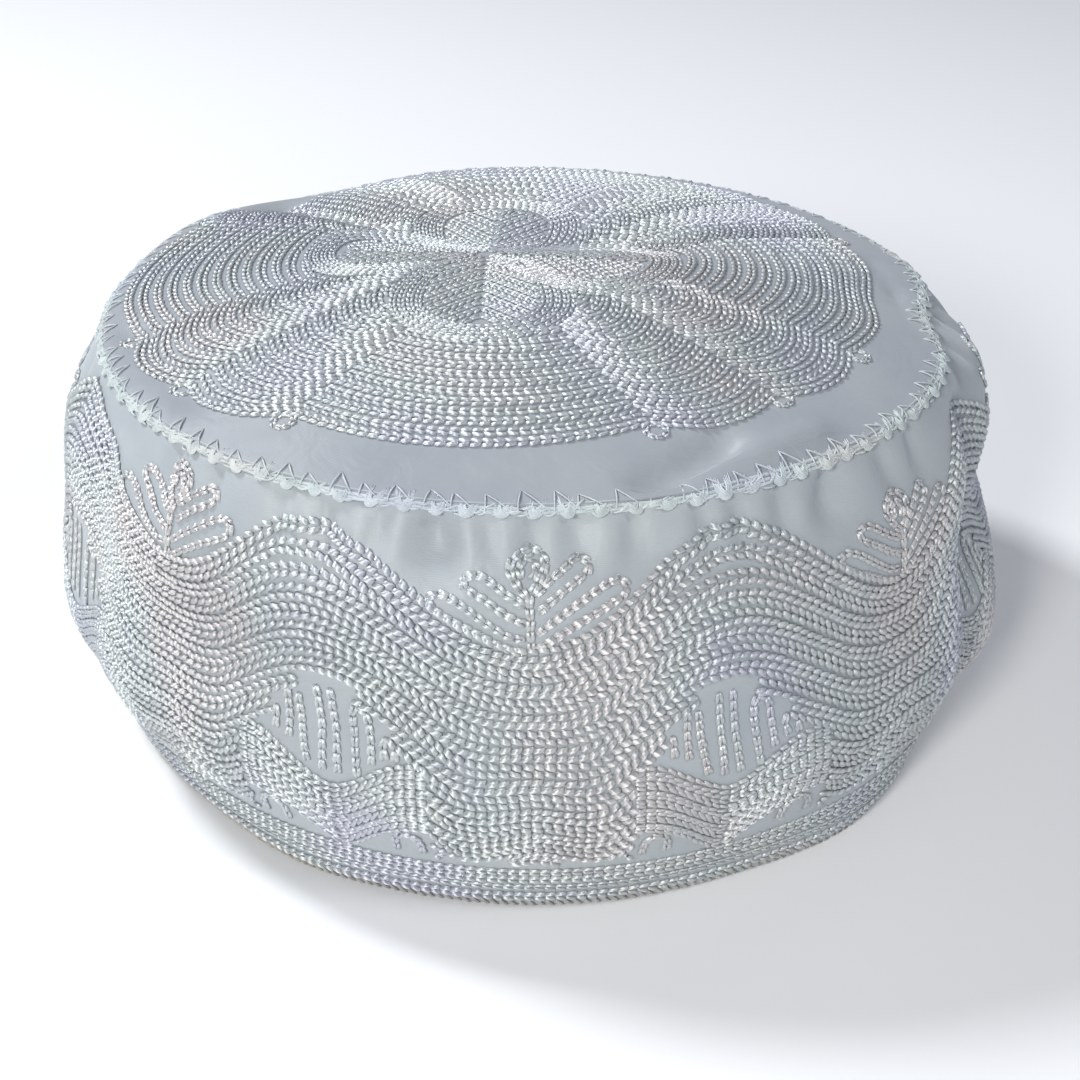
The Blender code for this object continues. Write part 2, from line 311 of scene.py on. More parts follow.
def satin_cloth(name, colour, shadow_colour):
    """Smooth white satin: fine weave, faint cloudy colour, soft crumples and a broad sheen."""
    material = bpy.data.materials.new(name)
    material.use_nodes = True
    nodes, links = material.node_tree.nodes, material.node_tree.links
    shader = nodes["Principled BSDF"]
    shader.inputs["Roughness"].default_value = 0.46
    shader.inputs["Specular IOR Level"].default_value = 0.45
    shader.inputs["Sheen Weight"].default_value = 0.25
    shader.inputs["Sheen Roughness"].default_value = 0.45
    shader.inputs["Sheen Tint"].default_value = (0.92, 0.96, 1.0, 1.0)
    place = nodes.new("ShaderNodeTexCoord")
    over_all, along_cut = place.outputs["Object"], place.outputs["UV"]
    clouds = add_texture(material, "ShaderNodeTexNoise", over_all, Scale=34.0, Detail=4.0)
    cloudy = toned(material, clouds, (0.32, shadow_colour), (0.68, colour))
    links.new(cloudy, shader.inputs["Base Color"])
    crumples = add_texture(
        material, "ShaderNodeTexNoise", over_all, Scale=120.0, Detail=3.0, Distortion=0.6,
    )
    crumpled = raised(material, crumples, strength=0.30, height=0.0012)
    weave = add_texture(
        material, "ShaderNodeTexWave", along_cut, Scale=900.0, Distortion=1.5, Detail=1.0,
    )
    weave.bands_direction = "Y"
    woven = raised(material, weave, strength=0.10, height=0.0002)
    links.new(crumpled.outputs["Normal"], woven.inputs["Normal"])
    links.new(woven.outputs["Normal"], shader.inputs["Normal"])
    return material


def hang_on_cap(mesh, material):
    """Put a finished piece in the scene, riding on the cap's one body."""
    mesh.materials.append(material)
    piece = bpy.data.objects.new(mesh.name, mesh)
    bpy.context.scene.collection.objects.link(piece)
    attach(piece, "root")
    return piece


top_share = 1 - (SEAM_LIP + PIECE_GAP) / SEAM_HEIGHT
corner_share = HEM_CORNER / SEAM_HEIGHT
turn_share = HEM_TURN_SHARE + corner_share
outer_shares = np.linspace(top_share, corner_share, BAND_OUTER_ROWS)
hem_shares = np.linspace(corner_share, HEM_TURN_SHARE, BAND_HEM_ROWS)
inner_shares = np.linspace(turn_share, top_share, BAND_INNER_ROWS)
band_section = [(0.0, share) for share in outer_shares]
band_section += [
    (HEM_CORNER * HEM_CORNER_ROUNDING, corner_share * HEM_CORNER_ROUNDING),
    (HEM_CORNER, 0.0), (HEM_THICKNESS - HEM_CORNER, 0.0),
]
band_section += [(HEM_THICKNESS, share) for share in hem_shares]
band_section += [(CLOTH_THICKNESS, share) for share in inner_shares]
insets, shares = np.array(band_section).T
band_azimuths = np.arange(BAND_SECTIONS) * 360 / BAND_SECTIONS
band_grid = on_band(band_azimuths[:, None], shares[None, :], -insets[None, :])
band_cloth = hang_on_cap(
    wrapped_mesh("band_cloth", band_grid, BAND_FLAT_CUT[0]),
    satin_cloth("band_satin", BAND_COLOUR, BAND_SHADOW_COLOUR),
)
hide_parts("side_band")

# The crown is a round panel of the same satin, painted darker than the band's as painted shade, and
# stretched over the head as a flat dome.
# Its edge is turned down inside the band as a narrow seam allowance, and soft valleys
# and small folds cross it where nothing fills it.
CROWN_RISE = 0.0097
CROWN_FLATNESS = 2.63
SEAM_ALLOWANCE = 0.0060
MIDDLE_HOLE_REACH = 0.0005
CROWN_SECTIONS = 288
CROWN_OUTER_ROWS = 56
CROWN_INNER_ROWS = 16
CROWN_FLAT_ACROSS = 0.184
# the crown's satin colours are painted darker than the band's same satin, as painted shade over the whole
# crown
CROWN_SHADED_SATIN_COLOUR = (0.345, 0.37, 0.39, 1.0)
CROWN_SHADED_CLOUD_COLOUR = (0.29, 0.315, 0.345, 1.0)

CrownFold = namedtuple("CrownFold", "from_x from_y to_x to_y half_width depth")
CROWN_FOLDS = [
    CrownFold(-0.028, 0.0150, 0.024, 0.0140, 0.0090, 0.0028),
    CrownFold(-0.060, 0.052, -0.036, 0.030, 0.0075, 0.0040),
    CrownFold(-0.030, -0.014, 0.024, -0.008, 0.0130, -0.0012),
    CrownFold(-0.020, 0.050, 0.028, 0.048, 0.0150, -0.0008),
    # small folds of the plain margin
    CrownFold(0.020, -0.0760, 0.0335, -0.064, 0.0032, 0.0032),
    CrownFold(0.0290, -0.0735, 0.050, -0.058, 0.0040, -0.0018),
    CrownFold(0.0715, 0.019, 0.0750, 0.004, 0.0022, 0.0008),
    CrownFold(0.0750, 0.004, 0.0790, -0.019, 0.0024, 0.0008),
    CrownFold(-0.078, -0.018, -0.060, -0.047, 0.0040, 0.0011),
]
FOLD_FREE_REACH = 0.95
FOLD_HELD_REACH = 0.99


def distance_to_line(fold, x, y):
    """The distance in plan from each point to a fold's line."""
    along_x, along_y = fold.to_x - fold.from_x, fold.to_y - fold.from_y
    part = (x - fold.from_x) * along_x + (y - fold.from_y) * along_y
    part = np.clip(part / (along_x ** 2 + along_y ** 2), 0, 1)
    return np.hypot(x - fold.from_x - along_x * part, y - fold.from_y - along_y * part)


def crown_rise(reach):
    """The height of the smooth dome over the seam."""
    return CROWN_RISE * (1 - np.abs(reach) ** CROWN_FLATNESS)


def on_crown_round(azimuth, reach, drop=0.0):
    """Points of the crown panel by azimuth and reach, dropped below its upper face."""
    seam_x, seam_y, seam_z = seam_ring(azimuth)
    way_x, way_y = outward(azimuth)
    draw = seam_draw(azimuth) * ramp(reach, SEAM_DENT_REACH, FOLD_HELD_REACH)
    x = SEAM_SHIFT_X + (seam_x - SEAM_SHIFT_X) * reach - way_x * draw
    y = SEAM_SHIFT_Y + (seam_y - SEAM_SHIFT_Y) * reach - way_y * draw
    valley = sum(
        fold.depth * hump(distance_to_line(fold, x, y), fold.half_width) for fold in CROWN_FOLDS
    )
    free = 1 - ramp(reach, FOLD_FREE_REACH, FOLD_HELD_REACH)
    z = SEAM_HEIGHT + (seam_z - SEAM_HEIGHT) * reach + crown_rise(reach) - valley * free - drop
    return np.stack([x, y, z], axis=-1)


def on_crown(x, y, proud=0.0):
    """Points on the crown's upper face over places in plan."""
    u = (np.asarray(x, float) - SEAM_SHIFT_X) / SEAM_HALF_WIDTH
    v = (np.asarray(y, float) - SEAM_SHIFT_Y) / SEAM_HALF_DEPTH
    return on_crown_round(np.degrees(np.arctan2(u, -v)), np.hypot(u, v), -proud)


outer_reach = 1 - (CLOTH_THICKNESS + PIECE_GAP) / SEAM_HALF_DEPTH
inner_reach = outer_reach - CLOTH_THICKNESS / SEAM_HALF_DEPTH
upper_reaches = np.linspace(MIDDLE_HOLE_REACH, 1, CROWN_OUTER_ROWS)
under_reaches = np.linspace(inner_reach, MIDDLE_HOLE_REACH, CROWN_INNER_ROWS)
allowance_drop = SEAM_LIP + SEAM_ALLOWANCE
crown_section = [(reach, 0.0) for reach in upper_reaches]
crown_section += [(1, SEAM_LIP), (outer_reach, SEAM_LIP + crown_rise(outer_reach))]
crown_section += [(reach, allowance_drop + crown_rise(reach)) for reach in (outer_reach, inner_reach)]
crown_section += [(reach, CLOTH_THICKNESS) for reach in under_reaches]
reaches, drops = np.array(crown_section).T
crown_azimuths = np.arange(CROWN_SECTIONS) * 360 / CROWN_SECTIONS
crown_grid = on_crown_round(crown_azimuths[:, None], reaches[None, :], drops[None, :])
crown_cloth = hang_on_cap(
    wrapped_mesh("crown_cloth", crown_grid, CROWN_FLAT_ACROSS * math.pi),
    satin_cloth("crown_satin", CROWN_SHADED_SATIN_COLOUR, CROWN_SHADED_CLOUD_COLOUR),
)
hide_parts("crown_panel")

# A zigzag of fine white thread sews the crown to the band. It runs over and over the joint,
# with one upright leg and one slanting leg to each stitch.
ZIGZAG_PITCH = 0.0053
ZIGZAG_CROWN_REACH = 0.966
ZIGZAG_BAND_SHARE = 0.985
ZIGZAG_THREAD = 0.00017
ZIGZAG_LEG_POINTS = 8
SEAM_COLOUR = (0.58, 0.61, 0.64, 1.0)
SEAM_SHADOW_COLOUR = (0.47, 0.50, 0.54, 1.0)
JOINT_REACH = 0.999
THREAD_SIDES = 5
THREAD_TIP = 0.45
TWIST_SCALE = 700.0

# how it is sewn, and how unevenly: places along the joint in pitches, heights as crossings of
# the joint, bows in degrees, and the thread's rise over the cloth in its own radii
ZIGZAG_STRAY = (-0.12, 0.12)
ZIGZAG_TOP = 0.95
ZIGZAG_TOP_STRAY = (-0.20, 0.15)
ZIGZAG_TOP_PLACE = (-0.05, 0.18)
ZIGZAG_FOOT_PLACE = (0.80, 1.15)
ZIGZAG_BOW = (-0.18, 0.18)
ZIGZAG_END_RISE = 0.4
ZIGZAG_MIDDLE_RISE = 2.2
CROWN_RISE_RATE = 1.6


def comb_fibres(mesh, ways):
    """Note on each point of a thread which way its fibres run there, for its gloss."""
    fibre_ways = mesh.attributes.new("fibre_way", "FLOAT_VECTOR", "POINT")
    fibre_ways.data.foreach_set("vector", ways.reshape(-1))


def lay_threads(name, paths, radius):
    """One mesh of round threads with closed, rounded ends, each along its own path of points."""
    points, faces, ends, ways = [], [], [], []
    angles = np.arange(THREAD_SIDES) * 2 * math.pi / THREAD_SIDES
    start = 0
    for path in paths:
        path = np.asarray(path, float)
        ahead = np.gradient(path, axis=0)
        ahead /= np.linalg.norm(ahead, axis=1, keepdims=True)
        aside = np.cross(ahead, (0.0, 0.0, 1.0))
        aside /= np.maximum(np.linalg.norm(aside, axis=1, keepdims=True), 1e-9)
        over = np.cross(aside, ahead)
        count = len(path)
        size = np.full(count, radius)
        size[0] = size[-1] = radius * THREAD_TIP
        ring = aside[:, None] * np.cos(angles)[:, None] + over[:, None] * np.sin(angles)[:, None]
        points.append((path[:, None] + ring * size[:, None, None]).reshape(-1, 3))
        ways.append(np.repeat(ahead, THREAD_SIDES, axis=0))
        here, side = np.meshgrid(np.arange(count - 1), np.arange(THREAD_SIDES), indexing="ij")
        after = (side + 1) % THREAD_SIDES
        low = start + here * THREAD_SIDES
        high = low + THREAD_SIDES
        quad = [low + side, low + after, high + after, high + side]
        faces.append(np.stack(quad, axis=-1).reshape(-1, 4))
        first = start + np.arange(THREAD_SIDES)
        ends += [first[::-1], first + (count - 1) * THREAD_SIDES]
        start += count * THREAD_SIDES
    mesh = bpy.data.meshes.new(name)
    thread_faces = np.concatenate(faces).tolist() + [end.tolist() for end in ends]
    mesh.from_pydata(np.concatenate(points).tolist(), [], thread_faces)
    comb_fibres(mesh, np.concatenate(ways))
    mesh.validate()
    mesh.shade_smooth()
    return mesh


def spun_thread(name, colour, shadow_colour, roughness, silver=0.0, twist_scale=TWIST_SCALE):
    """Spun thread: a tight slanting twist, an uneven white, and a gloss drawn out across its fibres."""
    material = bpy.data.materials.new(name)
    material.use_nodes = True
    nodes, links = material.node_tree.nodes, material.node_tree.links
    shader = nodes["Principled BSDF"]
    shader.inputs["Roughness"].default_value = roughness
    shader.inputs["Metallic"].default_value = silver
    shader.inputs["Specular IOR Level"].default_value = 0.6
    shader.inputs["Anisotropic"].default_value = 0.88
    shader.inputs["Anisotropic Rotation"].default_value = 0.25
    fibres = nodes.new("ShaderNodeAttribute")
    fibres.attribute_name = "fibre_way"
    links.new(fibres.outputs["Vector"], shader.inputs["Tangent"])
    over_all = nodes.new("ShaderNodeTexCoord").outputs["Object"]
    patches = add_texture(material, "ShaderNodeTexNoise", over_all, Scale=420.0, Detail=2.0)
    uneven_white = toned(material, patches, (0.30, shadow_colour), (0.62, colour))
    # faint bluish, greenish and warm tints laid at random over the thread: partly its uneven colour,
    # partly a painted tint of coloured light
    tint_patches = add_texture(material, "ShaderNodeTexNoise", over_all, Scale=26.0, Detail=1.0)
    patch_tints = toned(
        material, tint_patches,
        (0.36, (0.93, 0.94, 1.00, 1.0)), (0.50, (0.95, 1.00, 0.97, 1.0)), (0.66, (1.00, 0.97, 0.94, 1.0)),
    )
    tinted = nodes.new("ShaderNodeMix")
    tinted.data_type = "RGBA"
    tinted.blend_type = "MULTIPLY"
    tinted.inputs["Factor"].default_value = 1.0
    links.new(uneven_white, tinted.inputs["A"])
    links.new(patch_tints, tinted.inputs["B"])
    links.new(tinted.outputs["Result"], shader.inputs["Base Color"])
    twist = add_texture(
        material, "ShaderNodeTexWave", over_all, Scale=twist_scale, Distortion=0.8,
    )
    twist.bands_direction = "DIAGONAL"
    plied = raised(material, twist, strength=0.25, height=0.00012)
    links.new(plied.outputs["Normal"], shader.inputs["Normal"])
    return material


def over_seam(azimuth, crossing, proud):
    """Points over the joint: crossing 0 is down on the band and 1 is up on the crown."""
    low = on_band(azimuth, np.full_like(azimuth, ZIGZAG_BAND_SHARE), 0.0)
    edge = on_crown_round(azimuth, np.full_like(azimuth, JOINT_REACH), 0.0)
    high = on_crown_round(azimuth, np.full_like(azimuth, ZIGZAG_CROWN_REACH), 0.0)
    step = crossing[:, None]
    point = low * (1 - step) ** 2 + edge * 2 * step * (1 - step) + high * step ** 2
    way_x, way_y = outward(azimuth)
    point[:, 0] += way_x * proud * (1 - crossing)
    point[:, 1] += way_y * proud * (1 - crossing)
    point[:, 2] += proud * np.clip(crossing * CROWN_RISE_RATE, 0, 1)
    return point


rng = np.random.default_rng(5361)
seam_length = math.pi * (SEAM_HALF_WIDTH + SEAM_HALF_DEPTH)
zigzags = round(seam_length / ZIGZAG_PITCH)
zig_turn = 360 / zigzags
seam_paths = []
for zig in range(zigzags):
    start = (zig + rng.uniform(*ZIGZAG_STRAY)) * zig_turn
    top = ZIGZAG_TOP + rng.uniform(*ZIGZAG_TOP_STRAY)
    top_place = rng.uniform(*ZIGZAG_TOP_PLACE)
    foot_place = rng.uniform(*ZIGZAG_FOOT_PLACE)
    corners = [(start, 0.0), (start + zig_turn * top_place, top), (start + zig_turn * foot_place, 0.0)]
    for (from_azimuth, from_crossing), (to_azimuth, to_crossing) in zip(corners, corners[1:]):
        part = np.linspace(0, 1, ZIGZAG_LEG_POINTS)
        arch = np.sin(math.pi * part)
        bow = rng.uniform(*ZIGZAG_BOW) * arch
        azimuth = from_azimuth + (to_azimuth - from_azimuth) * part + bow
        crossing = from_crossing + (to_crossing - from_crossing) * part
        rise = ZIGZAG_THREAD * (ZIGZAG_END_RISE + ZIGZAG_MIDDLE_RISE * arch)
        seam_paths.append(over_seam(azimuth, crossing, rise))
seam_thread = spun_thread(
    "seam_thread", SEAM_COLOUR, SEAM_SHADOW_COLOUR, roughness=0.55, silver=0.05,
)
hang_on_cap(lay_threads("seam_zigzag", seam_paths, ZIGZAG_THREAD), seam_thread)

# Under the zigzag the joint is overcast with thicker white thread. Between the zigzag's legs it
# puffs up in nested loops, and shorter runs lie along the joint over three filling cords.
OVERCAST_THREAD = 0.00020
OVERCAST_COLOUR = (0.60, 0.63, 0.64, 1.0)
OVERCAST_SHADOW_COLOUR = (0.46, 0.50, 0.52, 1.0)
CORD_RADIUS = 0.00042
CORD_CROSSINGS = (0.03, 0.24, 0.44)
CORD_ARCS = 12
CORD_ARC_TURN = 1.02
CORD_ARC_POINTS = 32
CORD_SINK = 0.0001

# each puff: its place and lean in pitches, its height as a crossing, and its swell in thread radii
PUFF_STRAY = (-0.12, 0.12)
PUFF_HEIGHT = (0.48, 0.80)
PUFF_LEAN = (-0.25, 0.25)
PUFF_SWELL = (2.0, 4.0)

# its nested loops, from the outermost to the innermost: half widths in pitches, feet and tips
# as crossings, how soon a loop turns up and pinches in, and the share of the swell it takes
LOOPS_PER_PUFF = 7
LOOP_POINTS = 9
LOOP_HALF_WIDTH = 0.46
LOOP_NARROWING = 0.30
LOOP_STRETCH = (0.85, 1.1)
LOOP_FOOT = -0.20
LOOP_FOOT_RISE = 0.38
LOOP_TIP_DROP = 0.15
LOOP_TIP_STRAY = (-0.12, 0.12)
LOOP_UPTURN = 2.2
LOOP_PINCH = 0.34
LOOP_END_RISE = 0.5
LOOP_OUTER_SWELL = 0.6
LOOP_SWELL_GAIN = 0.4

# the runs of thread along the joint between the puffs
RUNS_PER_PUFF = 6
RUN_POINTS = 6
RUN_START = 0.7
RUN_STRAY = (-0.2, 0.2)
RUN_LENGTH = (0.25, 0.5)
RUN_CROSSING = (-0.14, 0.30)
RUN_SLANT = (-0.12, 0.30)
RUN_SWELL = (0.6, 1.8)
overcast_paths = []
for puff in range(zigzags):
    middle = (puff + 0.5 + rng.uniform(*PUFF_STRAY)) * zig_turn
    height = rng.uniform(*PUFF_HEIGHT)
    lean = rng.uniform(*PUFF_LEAN) * zig_turn
    swell = rng.uniform(*PUFF_SWELL)
    for loop in range(LOOPS_PER_PUFF):
        inner = loop / (LOOPS_PER_PUFF - 1)
        swing = np.linspace(-1, 1, LOOP_POINTS)
        half_width = zig_turn * (LOOP_HALF_WIDTH - LOOP_NARROWING * inner) * rng.uniform(*LOOP_STRETCH)
        foot = LOOP_FOOT + LOOP_FOOT_RISE * inner
        tip = height - LOOP_TIP_DROP * inner + rng.uniform(*LOOP_TIP_STRAY)
        crossing = foot + (tip - foot) * np.abs(swing) ** LOOP_UPTURN
        azimuth = middle + half_width * swing * (1 - LOOP_PINCH * swing ** 2) + lean * crossing
        taken = LOOP_OUTER_SWELL + LOOP_SWELL_GAIN * inner
        rise = OVERCAST_THREAD * (LOOP_END_RISE + swell * taken * (1 - swing ** 2))
        overcast_paths.append(over_seam(azimuth, crossing, rise))
    for run in range(RUNS_PER_PUFF):
        begin = middle + (run / RUNS_PER_PUFF - RUN_START) * zig_turn + rng.uniform(*RUN_STRAY)
        azimuth = begin + np.linspace(0, zig_turn, RUN_POINTS) * rng.uniform(*RUN_LENGTH)
        crossing = rng.uniform(*RUN_CROSSING) + np.linspace(0, rng.uniform(*RUN_SLANT), RUN_POINTS)
        arch = np.sin(np.linspace(0, math.pi, RUN_POINTS))
        rise = OVERCAST_THREAD * (1.0 + rng.uniform(*RUN_SWELL) * arch)
        overcast_paths.append(over_seam(azimuth, crossing, rise))
overcast_thread = spun_thread(
    "overcast_thread", OVERCAST_COLOUR, OVERCAST_SHADOW_COLOUR, roughness=0.75,
)
overcast_mesh = lay_threads("seam_overcast", overcast_paths, OVERCAST_THREAD)
hang_on_cap(overcast_mesh, overcast_thread)
cord_paths = []
for crossing in CORD_CROSSINGS:
    for arc in range(CORD_ARCS):
        azimuth = np.linspace(arc, arc + CORD_ARC_TURN, CORD_ARC_POINTS) * 360 / CORD_ARCS
        cord_paths.append(over_seam(azimuth, np.full(CORD_ARC_POINTS, crossing), -CORD_SINK))
hang_on_cap(lay_threads("seam_cord", cord_paths, CORD_RADIUS), overcast_thread)

# The hem's edge is whipped with a thin dull thread that has yellowed a little. Its short
# stitches slant down the outer face to the fold.
HEM_WHIP_PITCH = 0.0017
HEM_WHIP_THREAD = 0.00030
HEM_WHIP_POINTS = 5
HEM_WHIP_LENGTH = 0.85
HEM_WHIP_TOP_SHARE = 0.026
HEM_WHIP_DROP = 0.022
HEM_WHIP_STRAY = (-0.002, 0.002)
HEM_WHIP_END_RISE = 0.2
HEM_WHIP_MIDDLE_RISE = 0.7
HEM_WHIP_COLOUR = (0.50, 0.46, 0.42, 1.0)
HEM_WHIP_SHADOW_COLOUR = (0.36, 0.32, 0.29, 1.0)
hem_length = math.pi * (HEM_HALF_WIDTH + HEM_HALF_DEPTH)
whips = round(hem_length / HEM_WHIP_PITCH)
hem_paths = []
for whip in range(whips):
    azimuth = (whip + np.linspace(0, HEM_WHIP_LENGTH, HEM_WHIP_POINTS)) * 360 / whips
    step = np.linspace(0, 1, HEM_WHIP_POINTS)
    share = HEM_WHIP_TOP_SHARE - HEM_WHIP_DROP * step + rng.uniform(*HEM_WHIP_STRAY)
    rise = HEM_WHIP_THREAD * (HEM_WHIP_END_RISE + HEM_WHIP_MIDDLE_RISE * np.sin(math.pi * step))
    hem_paths.append(on_band(azimuth, share, rise))
hang_on_cap(
    lay_threads("hem_whipping", hem_paths, HEM_WHIP_THREAD),
    spun_thread("hem_thread", HEM_WHIP_COLOUR, HEM_WHIP_SHADOW_COLOUR, roughness=0.55),
)

# The band is embroidered in chain stitch with glossy silver-white thread. Long rows follow one
# wave that rises to eight crests, where they end over a lens, and dips to eight troughs, where
# six more rows fill in below. Each stitch is a loop whose two strands lie side by side.
STITCH_PITCH = 0.00193
STITCH_HALF_WIDTH = 0.00144
CRESTS = 8
CREST_TURN = 360 / CRESTS
WAVE_MIDDLE = 0.820
WAVE_SWING = 0.1015
WAVE_ROW_STEP = 0.0413
TROUGH_ROW_STEP = 0.0345
TROUGH_TURN = 13.0
WAVE_ROWS = 16
WAVE_ROW_POINTS = 2880
WAVE_PLUMP = 1.24
WavePiece = namedtuple("WavePiece", "name first_row end_row seed")
WAVE_PIECES = [
    WavePiece("wave_rows_upper", 0, 5, 11),
    WavePiece("wave_rows_middle", 5, 10, 12),
    WavePiece("wave_rows_lower", 10, WAVE_ROWS, 13),
]

# the lower edge of the wave rows, as a turn in degrees and a share: over the open lens under a
# crest, and from there down to the hem rows in the trough
OPEN_EDGE = [(0.0, 0.602), (2.0, 0.597), (3.5, 0.578), (5.0, 0.553), (6.3, 0.522), (7.5, 0.490),
             (9.0, 0.456), (10.0, 0.440), (11.1, 0.430), (11.4, 0.188), (22.5, 0.186)]

# the embroidered strip does not lie quite evenly round the cap: at every half repeat, how far
# its pattern has moved round in degrees, low and high on the band, and how far up in share
STRIP_TURN_LOW = (1.0, -1.2, 1.9, 0, 0, 0, 0, 0, 0, 0, 0, 0, 0, 0, 3.0, 2.3)
STRIP_TURN_HIGH = (1.3, 0.8, 1.9, 0, 0, 0, 0, 0, 0, 0, 0, 0, 0, 0, 3.0, -1.0)
STRIP_LIFT = (0, 0, -0.034, -0.02, 0, 0, 0, 0, 0, 0, 0, 0, 0, 0.02, 0.034, 0)
STRIP_LOW_SHARE = 0.50
STRIP_HIGH_SHARE = 0.92
LIFT_FROM_SHARE = 0.18
LIFT_FULL_SHARE = 0.70

# one strand of a stitch, from its rear tip to its front tip: along in pitches,
# aside in half widths, lift and radius in millimetres
StrandRing = namedtuple("StrandRing", "along aside lift radius")
STRAND_RINGS = [
    StrandRing(-0.62, 0.26, 0.04, 0.10),
    StrandRing(-0.38, 0.38, 0.26, 0.42),
    StrandRing(0.02, 0.57, 0.34, 0.50),
    StrandRing(0.40, 0.70, 0.26, 0.42),
    StrandRing(0.62, 0.70, 0.02, 0.10),
]
STRAND_SIDES = 5
STRAND_FLATNESS = 0.75
FIBRE_LEAN = 0.20
AIM_PITCHES = 0.45

# how uneven hand-guided stitches are: the spread of a stitch's turn in radians, and of its
# length, width and plumpness as shares
TURN_SPREAD = 0.05
LENGTH_SPREAD = 0.03
WIDTH_SPREAD = 0.05
PLUMP_SPREAD = 0.06

# small steps over each cloth, in its own two measures, that show which way it faces
BAND_STEPS = (0.1, 0.001)
CROWN_STEPS = (0.0002, 0.0002)

EMBROIDERY_COLOUR = (0.75, 0.755, 0.77, 1.0)
EMBROIDERY_SHADOW_COLOUR = (0.64, 0.65, 0.685, 1.0)
embroidery_thread = spun_thread(
    "embroidery_thread", EMBROIDERY_COLOUR, EMBROIDERY_SHADOW_COLOUR,
    roughness=0.60, silver=0.74, twist_scale=600.0,
)


def stitch_loop():
    """The points, faces and strand slopes of one chain stitch, for a pitch and a half width of 1."""
    points, faces, slopes = [], [], []
    rising = np.gradient([ring.aside for ring in STRAND_RINGS], [ring.along for ring in STRAND_RINGS])
    for side in (-1, 1):
        start = len(points)
        for ring, slope in zip(STRAND_RINGS[1:-1], rising[1:-1]):
            for corner in range(STRAND_SIDES):
                angle = 2 * math.pi * corner / STRAND_SIDES
                up = ring.lift + ring.radius * STRAND_FLATNESS * math.sin(angle)
                points.append((ring.along, side * ring.aside, ring.radius * math.cos(angle), up))
                slopes.append(side * slope)
        for ring, slope in ((STRAND_RINGS[0], rising[0]), (STRAND_RINGS[-1], rising[-1])):
            points.append((ring.along, side * ring.aside, 0.0, ring.lift))
            slopes.append(side * slope)
        rings = len(STRAND_RINGS) - 2
        rear, front = start + rings * STRAND_SIDES, start + rings * STRAND_SIDES + 1
        for corner in range(STRAND_SIDES):
            after = (corner + 1) % STRAND_SIDES
            for ring in range(rings - 1):
                low, high = start + ring * STRAND_SIDES, start + (ring + 1) * STRAND_SIDES
                faces.append((low + corner, low + after, high + corner))
                faces.append((low + after, high + after, high + corner))
            faces.append((rear, start + after, start + corner))
            last = start + (rings - 1) * STRAND_SIDES
            faces.append((front, last + corner, last + after))
    return np.array(points), np.array(faces), np.array(slopes)


def surface_ways(place, u, v, step_u, step_v):
    """Each point on a cloth, with its normal, from small steps over the cloth."""
    point = place(u, v)
    over_u = place(u + step_u, v) - place(u - step_u, v)
    over_v = place(u, v + step_v) - place(u, v - step_v)
    normal = np.cross(over_u, over_v)
    return point, normal / np.linalg.norm(normal, axis=-1, keepdims=True)


def on_row(point, run, at):
    """Points of a row at distances along it, kept between its two ends."""
    at = np.clip(at, 0, run[-1])
    return np.stack([np.interp(at, run, point[:, axis]) for axis in range(3)], axis=-1)


def stitches_along(place, row, pitch, steps):
    """Where the stitches of one row sit: points, ways ahead, normals and lengths."""
    u, v = np.asarray(row, float).T
    point = place(u, v)
    run = run_along(point)
    count = int(round(run[-1] / pitch))
    if count < 1:
        return None
    at = (np.arange(count) + 0.5) * run[-1] / count
    middle, normal = surface_ways(place, np.interp(at, run, u), np.interp(at, run, v), *steps)
    half = AIM_PITCHES * pitch
    ahead = on_row(point, run, at + half) - on_row(point, run, at - half)
    ahead -= normal * (ahead * normal).sum(axis=1, keepdims=True)
    ahead /= np.linalg.norm(ahead, axis=1, keepdims=True)
    return middle, ahead, normal, np.full(count, run[-1] / count)


def embroider(name, place, rows, pitch, half_width, seed, plump, steps=BAND_STEPS):
    """Sew chain stitches along all the rows as one piece, each stitch a little uneven."""
    laid = [stitches_along(place, row, pitch, steps) for row in rows if len(row) > 1]
    laid = [stitches for stitches in laid if stitches]
    middle, ahead, normal, length = (np.concatenate(part) for part in zip(*laid))
    loop, loop_faces, slopes = stitch_loop()
    uneven = np.random.default_rng(seed)
    count = len(middle)
    turn = uneven.normal(0, TURN_SPREAD, count)
    aside = np.cross(normal, ahead)
    ahead, aside = (
        ahead * np.cos(turn)[:, None] + aside * np.sin(turn)[:, None],
        aside * np.cos(turn)[:, None] - ahead * np.sin(turn)[:, None],
    )
    length = length * (1 + uneven.normal(0, LENGTH_SPREAD, count))
    width = half_width * (1 + uneven.normal(0, WIDTH_SPREAD, count))
    fat = plump * 0.001 * (1 + uneven.normal(0, PLUMP_SPREAD, count))
    along = loop[None, :, 0] * length[:, None]
    across = loop[None, :, 1] * width[:, None] + loop[None, :, 2] * fat[:, None]
    up = loop[None, :, 3] * fat[:, None]
    points = (
        middle[:, None] + ahead[:, None] * along[..., None]
        + aside[:, None] * across[..., None] + normal[:, None] * up[..., None]
    )
    faces = loop_faces[None] + (np.arange(count) * len(loop))[:, None, None]
    mesh = mesh_of(name, points.reshape(-1, 3), faces.reshape(-1, 3))
    lean = FIBRE_LEAN * slopes[None] * (width / length)[:, None]
    ways = ahead[:, None] + aside[:, None] * lean[..., None]
    comb_fibres(mesh, ways / np.linalg.norm(ways, axis=-1, keepdims=True))
    mesh.shade_smooth()
    return hang_on_cap(mesh, embroidery_thread)


